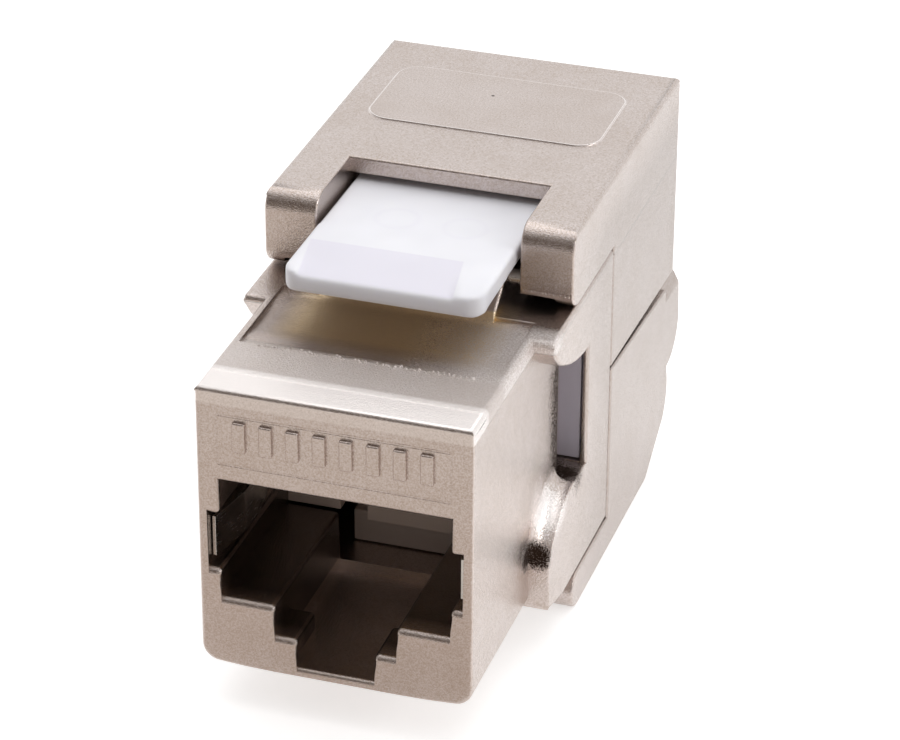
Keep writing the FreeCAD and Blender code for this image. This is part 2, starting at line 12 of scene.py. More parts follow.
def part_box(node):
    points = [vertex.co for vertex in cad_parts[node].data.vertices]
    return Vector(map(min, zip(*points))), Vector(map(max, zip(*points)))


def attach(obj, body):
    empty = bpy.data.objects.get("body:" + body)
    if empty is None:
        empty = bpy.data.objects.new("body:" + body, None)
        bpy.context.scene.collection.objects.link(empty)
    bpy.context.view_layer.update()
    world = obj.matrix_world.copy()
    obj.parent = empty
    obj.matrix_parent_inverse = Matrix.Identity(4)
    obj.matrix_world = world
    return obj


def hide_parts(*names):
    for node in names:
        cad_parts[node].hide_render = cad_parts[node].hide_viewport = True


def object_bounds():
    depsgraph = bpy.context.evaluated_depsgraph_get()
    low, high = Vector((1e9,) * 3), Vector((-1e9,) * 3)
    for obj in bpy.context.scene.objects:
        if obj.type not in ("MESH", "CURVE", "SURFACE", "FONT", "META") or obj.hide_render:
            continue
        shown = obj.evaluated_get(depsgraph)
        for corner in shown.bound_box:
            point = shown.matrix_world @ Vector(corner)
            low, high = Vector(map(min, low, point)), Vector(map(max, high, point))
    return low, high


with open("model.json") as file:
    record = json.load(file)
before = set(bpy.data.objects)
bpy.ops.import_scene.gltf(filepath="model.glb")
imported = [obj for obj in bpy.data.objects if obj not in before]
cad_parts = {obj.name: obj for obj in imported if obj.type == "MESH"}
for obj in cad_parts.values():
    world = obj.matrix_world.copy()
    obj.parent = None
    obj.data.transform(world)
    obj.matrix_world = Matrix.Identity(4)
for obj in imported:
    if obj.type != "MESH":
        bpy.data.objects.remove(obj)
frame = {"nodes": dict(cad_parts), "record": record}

bl_info = {
    "name": "Keystone Jack Dresser",
    "version": (1, 0, 0),
    "blender": (4, 5, 0),
    "location": "3D View > Sidebar > Keystone Jack",
    "description": "Dresses the keystone jack's frame with finished castings, plastics and contacts",
    "category": "Object",
}

MM = 0.001

# Cleaning of the meshes: lengths in metres, angles in degrees.
MERGE = 1e-7
SLIVER = 2e-6
FLAT_ANGLE = 0.5
CREASE_ANGLE = 42.0

# Edges that turn by more than SHARP_ANGLE degrees are rounded, with one width along each run.
# A run goes on where the cosine of its bend is over RUN_ON. A rounding takes ROOM_SHARE of the
# flat room beside it, probed at SAMPLES along the edge, and END_SHARE of what its ends leave.
SHARP_ANGLE = 25.0
RUN_ON = 0.75
ROOM_SHARE = 0.45
SAMPLES = (0.08, 0.3, 0.5, 0.7, 0.92)
PROBE = 0.008 * MM
END_SHARE = 0.8
LEAST_WIDTH = 0.02 * MM
PASSES = 4

# Corners of a face, in radians: nearly straight ones, and those that turn enough to count.
STRAIGHT = 0.02
LEAST_TURN = 0.2

FRAME_BOX = [list(corner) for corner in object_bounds()]

# The block's front face, and its bottom over the base that the jack rests on.
HOUSING_FRONT = Vector(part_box("front_housing")[0]).y
BLOCK_BOTTOM = 2.68 * MM


def at(x, y, z):
    """A place given in mm from the middle of the block's front bottom edge."""
    return Vector((x * MM, HOUSING_FRONT + y * MM, BLOCK_BOTTOM + z * MM))


# Zones of the castings' marks: low end, high end and fade in mm, as at() counts them, with x
# taken to both sides of the middle. The strip and the deck are rougher, and they and the crest
# carry painted highlights; shade and inside are painted shade under the latch lever and in the
# port; roll is a dark grainy patch beside the side slot.
ON_BLOCK = (15.2, 16.6, 0.1)
ZONES = {
    "strip": {"y": (2.3, 5.2, 0.5), "z": ON_BLOCK},
    "crest": {"y": (0.2, 2.3, 0.3), "z": ON_BLOCK},
    "deck": {"y": (5.2, 10.6, 0.9), "z": ON_BLOCK},
    "shade": {"x": (0, 4.6, 1.5), "y": (7.5, 12, 1.5), "z": (15.2, 16.2, 0.1)},
    "inside": {"x": (0, 6.3, 0.1), "y": (1.4, 17, 1.0), "z": (1.2, 12.6, 0.1)},
    "roll": {"x": (6.6, 7.2, 0.25), "y": (14.0, 15.6, 1.7), "z": (5.6, 12.0, 1.2)},
}

# The deck's rough grain and its painted highlight grow to the right over DECK_RISE. Painted
# shade darkens the rear parts over REAR_START, and less so upwards over REAR_TOP.
DECK_RISE = (1.0, 5.5)
REAR_START = (13, 19)
REAR_TOP = (17.5, 19.5)

# Round spots on the castings: place, inner and outer radius in mm. The flare's spot is a painted
# highlight, the next ones are dark grainy patches under the flare and beside the side slot, and
# the last ones are small casting pits.
FLARE_HIGHLIGHT_SPOTS = (((7.6, 11.4, 5.4), 0.8, 2.1),)
DARK_PATCH_SPOTS = (((7.7, 9.3, 3.5), 0.55, 1.25), ((7.5, 14.9, 5.4), 0.5, 1.5))
PITS = (((-0.6, 27.9, 20.52), 0.05, 0.12), ((-7.6, 10.9, 16.6), 0.05, 0.14))

# Lines drawn on the castings: half width, half height, corner radius and line width in mm. The
# label's line is a painted highlight round its rim; the mould line is a fine sunk line.
LABEL_RIM = (6.5, 3.55, 1.3, 0.07)
LABEL_MIDDLE = 26.85
LABEL_TOP = (20.4, 20.41)
MOULD_FRAME = (6.1, 1.4, 0.1, 0.08)
MOULD_MIDDLE = 13.2
MOULD_DEPTH = (-1, 0.05, 0.01)

# How strongly each mark of the castings shows, from 0 to 1. The bright marks are painted
# highlights; of the dark ones, the mould line is a fine sunk line, and the inside of the port and
# the rear parts are painted shade.
PAINTED_HIGHLIGHT_SHARES = {"label": 0.8, "crest": 0.85, "strip": 0.35}
FLARE_HIGHLIGHT_SHARE = 0.95
DARK = {"mould": 0.04, "inside": 0.7, "rear": 0.20}

# How much rougher than the rest the strip and the dark patches are.
STRIP_ROUGHNESS = 0.14
DARK_PATCH_ROUGHNESS = 0.40

# Relief of the castings' textures, and where the block's top falls away to the front, in mm.
CROWN_DEPTH = (0, 2.4)
CROWN_TOP = (15.6, 15.7)
CROWN_RELIEF = 0.12 * MM
MOULD_RELIEF = 0.012 * MM
SAND_RELIEF = 0.020 * MM
COARSE_RELIEF = 0.06 * MM
SPECK_RELIEF = 0.008 * MM

# The latch lever's thumb facet, whose sides lean by FACET_SLANT, and its two round sink marks,
# in mm. Both are painted shade, tinted towards the shaded white.
FACET = {"x": (-4.95, 3.15, 0.1), "y": (7.3, 10.9, 0.1)}
FACET_SLANT = 0.17
FACET_TOP = (18.5, 18.7)
FACET_SHADE_SHARE = 0.55
RING_PLACES = ((2.1, 14.6, 19.1), (-1.6, 14.6, 19.1))
RING_OUTER = (1.15, 1.35)
RING_INNER = (0.85, 1.1)
RING_SHADE_SHARE = 0.12

# Finish of the other pieces. FRAME_PLASTIC is the frame's own plain white, which the two pieces
# behind the board keep. Within INNER_WIDTH the carrier gets painted shade.
FRAME_PLASTIC = "white_plastic"
LEVER_ROUGHNESS = 0.36
CARRIER_ROUGHNESS = 0.42
PLASTIC_SHADE = 0.93
INNER_WIDTH = (0, 6.2, 0.6)
METALS = {"gold_plating": ("gold", 0.22), "tin_plating": ("tin", 0.34),
          "bright_steel": ("steel", 0.20)}
METAL_SHADE = 0.82
COPPER_TONE = 1.9

# Spans of a ray's direction over which the studio's tones change. The dark room's middle is a
# little to the left.
BEHIND = (-0.05, 0.30)
ABOVE = (0.70, 0.92)
BEHIND_LAMP = (0.88, 0.95)
ROOM_MIDDLE = -0.25
ASIDE = (0.15, 0.40)

# Paints of the floor and the studio, and the lights' places and size in metres.
FLOOR_PAINT = (0.8, 0.8, 0.8, 1.0)
FULL_WHITE = (1.0, 1.0, 1.0, 1.0)
LIGHT_TARGET = (0, 0, 12 * MM)
KEY_PLACE = (-0.01, 0.06, 0.38)
SIDE_PLACE = (0.32, -0.02, 0.16)
SIDE_SIZE = 0.12
FLOOR_SIDES = 96

# The camera: azimuth, elevation and roll in degrees, lengths in metres, the lens in mm.
CAMERA_TURN = (17.849, 28.862, 0.327)
CAMERA_AIM = Vector((-0.452 * MM, HOUSING_FRONT + 20.078 * MM, 10.264 * MM))
CAMERA_DISTANCE = 0.2
CAMERA_LENS = 147.17
CAMERA_SENSOR = 36.0
CAMERA_NEAR = 0.01


# ------------------------------------------------------------------ sizes and colours


class JackSizes(bpy.types.PropertyGroup):
    edge_block: FloatProperty(
        name="Block edge", description="Edge rounding of the front housing",
        default=0.22 * MM, unit="LENGTH", precision=5)
    edge_cover: FloatProperty(
        name="Cover edge", description="Edge rounding of the two rear covers",
        default=0.13 * MM, unit="LENGTH", precision=5)
    edge_plastic: FloatProperty(
        name="Plastic edge", description="Edge rounding of the moulded pieces",
        default=0.10 * MM, unit="LENGTH", precision=5)
    melt_voxel: FloatProperty(
        name="Lever mesh", description="Mesh size of the softly rounded latch lever",
        default=0.11 * MM, unit="LENGTH", precision=5)
    melt_rounds: IntProperty(
        name="Lever rounding", description="Smoothing passes over the latch lever",
        default=8, min=0)
    edge_small: FloatProperty(
        name="Small edge", description="Edge rounding of springs, pins and terminals",
        default=0.04 * MM, unit="LENGTH", precision=5)
    mark_count: IntProperty(
        name="Position bars", description="Raised bars over the port, one for each contact",
        default=8, min=1)
    mark_pitch: FloatProperty(
        name="Bar pitch", description="Distance between neighbouring bars",
        default=1.4 * MM, unit="LENGTH", precision=5)
    mark_width: FloatProperty(
        name="Bar width", description="Width of one bar",
        default=0.7 * MM, unit="LENGTH", precision=5)
    mark_height: FloatProperty(
        name="Bar height", description="Height of one bar",
        default=1.7 * MM, unit="LENGTH", precision=5)
    mark_relief: FloatProperty(
        name="Bar relief", description="How far a bar stands out of the face",
        default=0.2 * MM, unit="LENGTH", precision=5)
    mark_rise: FloatProperty(
        name="Bar row height", description="Middle of the row above the block's bottom",
        default=13.5 * MM, unit="LENGTH", precision=5)
    grain: FloatProperty(
        name="Casting grain", description="Size of the sandy grain of the plated castings",
        default=0.1 * MM, unit="LENGTH", precision=5)


class JackColours(bpy.types.PropertyGroup):
    nickel: FloatVectorProperty(
        name="Nickel", description="Satin nickel of the castings", subtype="COLOR",
        size=3, default=(0.66, 0.59, 0.565))
    nickel_dull: FloatVectorProperty(
        name="Dull nickel", description="Nickel in hollows and where the plating is dull",
        subtype="COLOR", size=3, default=(0.50, 0.415, 0.36))
    # Painted highlight: bright nickel where the casting catches the light.
    nickel_painted_highlight: FloatVectorProperty(
        name="Bright nickel", description="Nickel where the casting is rubbed bright",
        subtype="COLOR", size=3, default=(0.93, 0.88, 0.86))
    # Painted shade: warm dark nickel under the latch lever.
    nickel_painted_shade: FloatVectorProperty(
        name="Warm nickel", description="Nickel in the shade under the latch lever",
        subtype="COLOR", size=3, default=(0.92, 0.745, 0.50))
    # Dark tone of the dark patches, pits and mould line, and of the painted shade in the port and
    # rear.
    smudge: FloatVectorProperty(
        name="Smudge", description="Dark grain left in the tightest hollows",
        subtype="COLOR", size=3, default=(0.032, 0.018, 0.012))
    white: FloatVectorProperty(
        name="White plastic", description="Cool white of the latch lever", subtype="COLOR",
        size=3, default=(0.90, 0.90, 0.95))
    # Painted shade: the carrier's white as it looks in the shade; the lever's facet and rings use it
    # too.
    shaded_white: FloatVectorProperty(
        name="Carrier plastic", description="Shaded white of the contact carrier",
        subtype="COLOR", size=3, default=(0.74, 0.71, 0.82))
    # Painted shade: the carrier browner where it sits in the shade between the housing's walls.
    carrier_painted_shade: FloatVectorProperty(
        name="Inner plastic", description="The contact carrier between the housing's walls",
        subtype="COLOR", size=3, default=(0.60, 0.50, 0.45))
    board: FloatVectorProperty(
        name="Board", description="Solder mask of the circuit board", subtype="COLOR",
        size=3, default=(0.03, 0.16, 0.07))
    gold: FloatVectorProperty(
        name="Gold", description="Plating of the contacts", subtype="COLOR",
        size=3, default=(0.90, 0.66, 0.26))
    tin: FloatVectorProperty(
        name="Tin", description="Plating of the terminals", subtype="COLOR",
        size=3, default=(0.72, 0.72, 0.71))
    steel: FloatVectorProperty(
        name="Steel", description="Hinge pins and earthing springs", subtype="COLOR",
        size=3, default=(0.70, 0.69, 0.67))


class StageSizes(bpy.types.PropertyGroup):
    key_power: FloatProperty(
        name="Key light", description="Power of the large soft light overhead",
        default=0.38, unit="POWER")
    key_size: FloatProperty(
        name="Key size", description="Width of the overhead light", default=0.40,
        unit="LENGTH")
    side_power: FloatProperty(
        name="Side light", description="Power of the light on the right", default=0.20,
        unit="POWER")
    room_tone: FloatVectorProperty(
        name="Room tone", description="Dark room in front of the object", subtype="COLOR",
        size=3, default=(0.070, 0.042, 0.025))
    side_tone: FloatProperty(
        name="Side tone", description="Paler parts of the room on both sides of the dark one",
        default=0.45)
    lamp_shade: FloatProperty(
        name="Lamp shade", description="White left out behind the overhead lamp",
        default=0.70)
    room_fill: FloatProperty(
        name="Room fill", description="Soft light that the room gives to dull surfaces",
        default=0.25)
    front_tone: FloatVectorProperty(
        name="Front floor tone", description="Floor in front, as the castings reflect it",
        subtype="COLOR", size=3, default=(0.50, 0.44, 0.395))
    front_glow: FloatVectorProperty(
        name="Front floor glow", description="Share of the floor's glow left in front",
        subtype="COLOR", size=3, default=(0.405, 0.358, 0.325))
    far_tone: FloatVectorProperty(
        name="Far floor tone", description="Floor farther in front, paler than the near part",
        subtype="COLOR", size=3, default=(0.61, 0.58, 0.545))
    far_glow: FloatVectorProperty(
        name="Far floor glow", description="Share of the floor's glow left farther in front",
        subtype="COLOR", size=3, default=(0.50, 0.468, 0.437))
    far_edge: FloatProperty(
        name="Far floor edge", description="Where the paler part of the floor in front starts",
        default=-52.0 * MM, unit="LENGTH")
    near_edge: FloatProperty(
        name="Near floor edge", description="Where the darker part of the floor ends",
        default=-24.0 * MM, unit="LENGTH")
    front_edge: FloatProperty(
        name="Front floor edge", description="Where the floor in front starts to darken",
        default=-17.0 * MM, unit="LENGTH")
    front_fade: FloatProperty(
        name="Front floor fade", description="Length over which the floor darkens",
        default=5.0 * MM, unit="LENGTH")
    rear_edge: FloatProperty(
        name="Rear floor edge", description="Where the floor's glow starts to fall behind",
        default=8.0 * MM, unit="LENGTH")
    rear_fade: FloatProperty(
        name="Rear floor fade", description="Length over which the floor's glow falls",
        default=35.0 * MM, unit="LENGTH")
    rear_loss: FloatProperty(
        name="Rear floor loss", description="Share of the glow lost behind", default=0.42)
    floor_glow: FloatProperty(
        name="Floor glow", description="White of the floor beside its lit colour",
        default=0.52)
    floor_size: FloatProperty(
        name="Floor size", description="Radius of the floor", default=0.45,
        unit="LENGTH")


# ------------------------------------------------------------------ mesh helpers


def new_object(name, data):
    obj = bpy.data.objects.new(name, data)
    bpy.context.scene.collection.objects.link(obj)
    return obj


def give_material(obj, material):
    obj.data.materials.clear()
    obj.data.materials.append(material)


def apply_modifiers(obj):
    """Turns the evaluated object into a plain mesh and drops its modifiers."""
    depsgraph = bpy.context.evaluated_depsgraph_get()
    mesh = bpy.data.meshes.new_from_object(obj.evaluated_get(depsgraph))
    obj.modifiers.clear()
    obj.data = mesh


def bends(edge):
    """True where the two faces beside an edge meet at a real angle."""
    return edge.is_manifold and edge.calc_face_angle(0) > math.radians(SHARP_ANGLE)


def side_room(loop, tree):
    """Flat width beside an edge in one face, and what its two ends leave of it."""
    edge, face = loop.edge, loop.face
    start, end = loop.vert.co, loop.link_loop_next.vert.co
    along = (end - start).normalized()
    inward = face.normal.cross(along)
    room = 1.0
    for share in SAMPLES:
        spot = start.lerp(end, share) + inward * PROBE
        for lift in (PROBE, -PROBE):
            hit = tree.ray_cast(spot + face.normal * lift, inward)
            if hit[3] is not None:
                room = min(room, hit[3] * ROOM_SHARE)
    shrink = 0.0
    for vert, other in ((loop.vert, loop.link_loop_prev.edge),
                        (loop.link_loop_next.vert, loop.link_loop_next.edge)):
        outward = (edge.other_vert(vert).co - vert.co).normalized()
        away = (other.other_vert(vert).co - vert.co).normalized()
        inside = away.dot(inward)
        corner = math.atan2(inside, away.dot(outward))
        if 0 < corner < math.pi - STRAIGHT:
            shrink += 1 / math.tan(corner / 2) if other.tag else 1 / math.tan(corner)
        if not other.tag and LEAST_TURN < corner < math.pi - LEAST_TURN:
            room = min(room, other.calc_length() * math.sin(corner) * END_SHARE)
    if shrink > 0:
        room = min(room, edge.calc_length() / shrink * END_SHARE)
    return room


def chained(edge, others):
    """The edges that carry on from an edge in nearly the same direction."""
    for vert in edge.verts:
        ahead = (vert.co - edge.other_vert(vert).co).normalized()
        for other in vert.link_edges:
            if other is not edge and other in others:
                if (other.other_vert(vert).co - vert.co).normalized().dot(ahead) > RUN_ON:
                    yield other


def chains(edges):
    """Groups of edges that run on into one another."""
    left = set(edges)
    while left:
        group, queue = [], [left.pop()]
        while queue:
            edge = queue.pop()
            group.append(edge)
            for other in chained(edge, left):
                left.discard(other)
                queue.append(other)
        yield group


def best_width(group, rooms, width):
    """The width that serves a run of edges best: wide, and with room along most of the run."""
    total = sum(e.calc_length() for e in group)

    def service(room):
        used = min(room, width)
        return used * sum(e.calc_length() for e in group if rooms[e] >= used) / total

    return min(max(rooms.values(), key=service), width)


def bevel_weights(bm, width):
    """Gives the outward edges their weights: one width along each run, none where it is tight."""
    tree = BVHTree.FromBMesh(bm)
    layer = bm.edges.layers.float.new("bevel_weight_edge")
    edges = [e for e in bm.edges if bends(e) and e.is_convex]
    for edge in bm.edges:
        edge.tag = False
    for edge in edges:
        edge.tag = True
    for _ in range(PASSES):
        kept = []
        for group in chains(edges):
            rooms = {e: min(side_room(loop, tree) for loop in e.link_loops) for e in group}
            group_width = best_width(group, rooms, width)
            for edge in group:
                fits = group_width > LEAST_WIDTH and rooms[edge] >= group_width
                edge[layer] = group_width / width if fits else 0.0
                if fits:
                    kept.append(edge)
        for edge in set(edges) - set(kept):
            edge.tag = False
        if len(kept) == len(edges):
            break
        edges = kept


def softened_copy(node, width, segments):
    """A merged copy of a frame solid with its outward edges rounded where there is room."""
    name = node + "_finished"
    bm = bmesh.new()
    bm.from_mesh(frame["nodes"][node].data)
    bmesh.ops.remove_doubles(bm, verts=bm.verts, dist=MERGE)
    bmesh.ops.dissolve_limit(bm, angle_limit=math.radians(FLAT_ANGLE), verts=bm.verts,
                             edges=bm.edges)
    bm.normal_update()
    bevel_weights(bm, width)
    mesh = bpy.data.meshes.new(name)
    bm.to_mesh(mesh)
    bm.free()
    obj = new_object(name, mesh)
    bevel = obj.modifiers.new("Edge", "BEVEL")
    bevel.width = width
    bevel.segments = segments
    bevel.limit_method = "WEIGHT"
    bevel.use_clamp_overlap = False
    apply_modifiers(obj)
    drop_slivers(obj)
    shade_soft(obj)
    return obj


def drop_slivers(obj):
    """Closes the hair-thin faces that the rounding leaves along flat seams."""
    bm = bmesh.new()
    bm.from_mesh(obj.data)
    bmesh.ops.remove_doubles(bm, verts=bm.verts, dist=SLIVER)
    bmesh.ops.dissolve_degenerate(bm, edges=bm.edges, dist=SLIVER)
    bmesh.ops.dissolve_limit(bm, angle_limit=math.radians(FLAT_ANGLE), verts=bm.verts,
                             edges=bm.edges)
    bmesh.ops.triangulate(bm, faces=[f for f in bm.faces if len(f.verts) > 4])
    bm.to_mesh(obj.data)
    bm.free()


def moulded_copy(node, voxel, rounds):
    """A copy of a frame solid with every edge melted to the same small radius."""
    name = node + "_finished"
    obj = new_object(name, frame["nodes"][node].data.copy())
    remesh = obj.modifiers.new("Melt", "REMESH")
    remesh.mode = "VOXEL"
    remesh.voxel_size = voxel
    apply_modifiers(obj)
    bm = bmesh.new()
    bm.from_mesh(obj.data)
    for _ in range(rounds):
        bmesh.ops.smooth_vert(bm, verts=bm.verts, factor=0.5, use_axis_x=True,
                              use_axis_y=True, use_axis_z=True)
    bm.to_mesh(obj.data)
    bm.free()
    obj.data.polygons.foreach_set("use_smooth", [True] * len(obj.data.polygons))
    return obj


def shade_soft(obj):
    """Smooth shading in which the largest face round each corner decides its normal."""
    mesh = obj.data
    around = [[] for _ in mesh.vertices]
    for face in mesh.polygons:
        for vert in face.vertices:
            around[vert].append(face)
    least = math.cos(math.radians(CREASE_ANGLE))
    normals = []
    for face in mesh.polygons:
        for vert in face.vertices:
            total = Vector()
            for other in around[vert]:
                if other.normal.dot(face.normal) > least:
                    total += other.normal * (other.area / MM ** 2) ** 2
            normals.append(total.normalized() if total.length > 0 else face.normal)
    mesh.polygons.foreach_set("use_smooth", [True] * len(mesh.polygons))
    mesh.normals_split_custom_set(normals)


def body_holding(node):
    for body, nodes in frame["record"]["behaviour"]["bodies"].items():
        if node in nodes:
            return body
    raise ValueError("no body holds " + node)


def slot_of(node):
    for part in frame["record"]["subparts"]:
        if part["node"] == node:
            return part["material_slot"]
    raise ValueError("no slot for " + node)


def dress(node, material, piece):
    """Lets a finished copy stand for a frame solid and ride on the same body."""
    give_material(piece, material)
    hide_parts(node)
    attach(piece, body_holding(node))
    slot_of(node)


# ------------------------------------------------------------------ node helpers


def in_use(sockets, name=None):
    """The first socket that the node's settings leave in use, or the one of this name."""
    return next(s for s in sockets if s.enabled and name in (None, s.name))


class Tree:
    """Short way of adding nodes and links to one node tree."""

    def __init__(self, tree):
        self.tree = tree

    def put(self, socket, value):
        """Links an output to a socket, or gives the socket a plain value."""
        if isinstance(value, bpy.types.NodeSocket):
            self.tree.links.new(value, socket)
        else:
            socket.default_value = value

    def add(self, kind, inputs=None, **settings):
        """A new node with its settings and its named inputs."""
        node = self.tree.nodes.new(kind)
        for key, value in settings.items():
            setattr(node, key, value)
        for name, value in (inputs or {}).items():
            self.put(in_use(node.inputs, name), value)
        return node

    def out(self, kind, inputs=None, **settings):
        """What a new node gives out."""
        return in_use(self.add(kind, inputs, **settings).outputs)

    def math(self, operation, a, b=0.0, clamp=False):
        node = self.add("ShaderNodeMath", operation=operation, use_clamp=clamp)
        self.put(node.inputs[0], a)
        self.put(node.inputs[1], b)
        return in_use(node.outputs)

    def noise(self, coords, scale, detail=2.0, rough=0.5):
        return self.out("ShaderNodeTexNoise", {
            "Vector": coords, "Scale": scale, "Detail": detail, "Roughness": rough})

    def span(self, value, low, high, to_low=0.0, to_high=1.0):
        return self.out("ShaderNodeMapRange", {
            "Value": value, "From Min": low, "From Max": high, "To Min": to_low,
            "To Max": to_high}, clamp=True)

    def axes(self, coords):
        return self.add("ShaderNodeSeparateXYZ", {"Vector": coords}).outputs

    def near(self, coords, place, inner, outer):
        """1 within inner of a place, falling to 0 at outer."""
        node = self.add("ShaderNodeVectorMath", operation="DISTANCE")
        self.put(node.inputs[0], coords)
        self.put(node.inputs[1], place)
        return self.span(in_use(node.outputs), inner, outer, 1.0, 0.0)

    def between(self, value, low, high, fade):
        """1 between low and high, falling to 0 over the fade on either side."""
        rise = self.span(value, low - fade, low)
        return self.times(rise, self.span(value, high, high + fade, 1.0, 0.0))

    def grainy(self, mask, fleck):
        """A soft mask broken up into grains where it fades."""
        level = self.math("ADD", mask, self.span(fleck, 0.3, 0.7, -0.55, 0.55))
        return self.times(self.span(level, 0.42, 0.72), self.span(mask, 0.02, 0.1))

    def border(self, x, y, half_x, half_y, corner, width):
        """1 on the outline of a rounded rectangle about the origin of x and y."""
        over = [self.math("SUBTRACT", self.math("ABSOLUTE", value), half - corner)
                for value, half in ((x, half_x), (y, half_y))]
        out = [self.math("POWER", self.math("MAXIMUM", value, 0.0), 2.0) for value in over]
        far = self.math("SQRT", self.math("ADD", *out))
        near = self.math("MINIMUM", self.math("MAXIMUM", *over), 0.0)
        gap = self.math("ABSOLUTE", self.math("SUBTRACT", self.math("ADD", far, near), corner))
        return self.span(gap, width / 2, width, 1.0, 0.0)

    def times(self, *values):
        return reduce(lambda a, b: self.math("MULTIPLY", a, b), values)

    def most(self, *values):
        return reduce(lambda a, b: self.math("MAXIMUM", a, b), values)

    def mix(self, factor, a, b):
        return self.out("ShaderNodeMix", {"Factor": factor, "A": a, "B": b}, data_type="RGBA")

    def bump(self, height, distance, strength=1.0, normal=None):
        inputs = {"Height": height, "Distance": distance, "Strength": strength}
        if normal is not None:
            inputs["Normal"] = normal
        return self.out("ShaderNodeBump", inputs)


def rgba(colour, shade=1.0):
    """A colour of three numbers, darker or lighter by a factor, as a socket takes it."""
    return (colour[0] * shade, colour[1] * shade, colour[2] * shade, 1.0)


def new_tree(datablock):
    """The emptied node tree of a new material or world."""
    datablock.use_nodes = True
    datablock.node_tree.nodes.clear()
    return Tree(datablock.node_tree)


def material_base(name):
    """A new material with its shader and object coordinates."""
    material = bpy.data.materials.new(name)
    t = new_tree(material)
    shader = t.add("ShaderNodeBsdfPrincipled")
    t.add("ShaderNodeOutputMaterial", {"Surface": shader.outputs["BSDF"]})
    coords = t.add("ShaderNodeTexCoord").outputs["Object"]
    return material, t, shader, coords


def zone(t, place, ranges):
    """1 inside a box of ranges, falling to 0 over each one's fade."""
    masks = []
    for axis, (low, high, fade) in ranges.items():
        start, end = (getattr(at(size, size, size), axis) for size in (low, high))
        masks.append(t.between(place[axis], start, end, fade * MM))
    return t.times(*masks)


def slope(t, place, axis, low, high, to_low=0.0, to_high=1.0):
    """Goes from one level to the other between two places in mm along an axis."""
    start, end = (getattr(at(size, size, size), axis) for size in (low, high))
    return t.span(place[axis], start, end, to_low, to_high)


def spots(t, coords, places, sides):
    """1 on round spots, on the sides given as 1 and -1."""
    return t.most(*(t.near(coords, at(side * x, y, z), inner * MM, outer * MM)
                    for (x, y, z), inner, outer in places for side in sides))


# ------------------------------------------------------------------ materials


def casting_marks(t, coords, fleck):
    """Masks of the castings: rough zones, painted highlights and shade, dark patches, pits, mould
    lines.
    """
    x, y, z = t.axes(coords)
    place = {"x": t.math("ABSOLUTE", x), "y": y, "z": z}
    marks = {name: zone(t, place, ranges) for name, ranges in ZONES.items()}
    marks["deck"] = t.times(marks["deck"], slope(t, {"x": x}, "x", *DECK_RISE))
    marks["strip"] = t.most(marks["strip"], marks["deck"])
    from_label = t.math("SUBTRACT", y, at(0, LABEL_MIDDLE, 0).y)
    marks["label"] = t.times(t.border(x, from_label, *(size * MM for size in LABEL_RIM)),
                             slope(t, place, "z", *LABEL_TOP))
    from_mould = t.math("SUBTRACT", z, at(0, 0, MOULD_MIDDLE).z)
    marks["mould"] = t.times(t.border(x, from_mould, *(size * MM for size in MOULD_FRAME)),
                             zone(t, place, {"y": MOULD_DEPTH}))
    marks["rear"] = t.times(slope(t, place, "y", *REAR_START),
                            slope(t, place, "z", *REAR_TOP, 1.0, 0.0))
    marks["pits"] = spots(t, coords, PITS, (1,))
    # Dark grainy patches beside the side slot and under the flare.
    blobs = spots(t, coords, DARK_PATCH_SPOTS, (1, -1))
    marks["smudge"] = t.grainy(t.most(marks["roll"], blobs), fleck)
    # Painted highlights: the flare, the deck's grain, the label's rim and the block's top strips.
    flare_highlight = t.grainy(t.times(spots(t, coords, FLARE_HIGHLIGHT_SPOTS, (1, -1)), FLARE_HIGHLIGHT_SHARE), fleck)
    marks["gloss"] = t.most(flare_highlight, t.times(marks["deck"], t.span(fleck, 0.46, 0.56)),
                            *(t.times(marks[name], share) for name, share in PAINTED_HIGHLIGHT_SHARES.items()))
    # Dark marks: patches, pits and the mould line, and painted shade in the port and on the rear
    # parts.
    marks["dark"] = t.most(marks["smudge"], marks["pits"],
                           *(t.times(marks[name], share) for name, share in DARK.items()))
    return marks


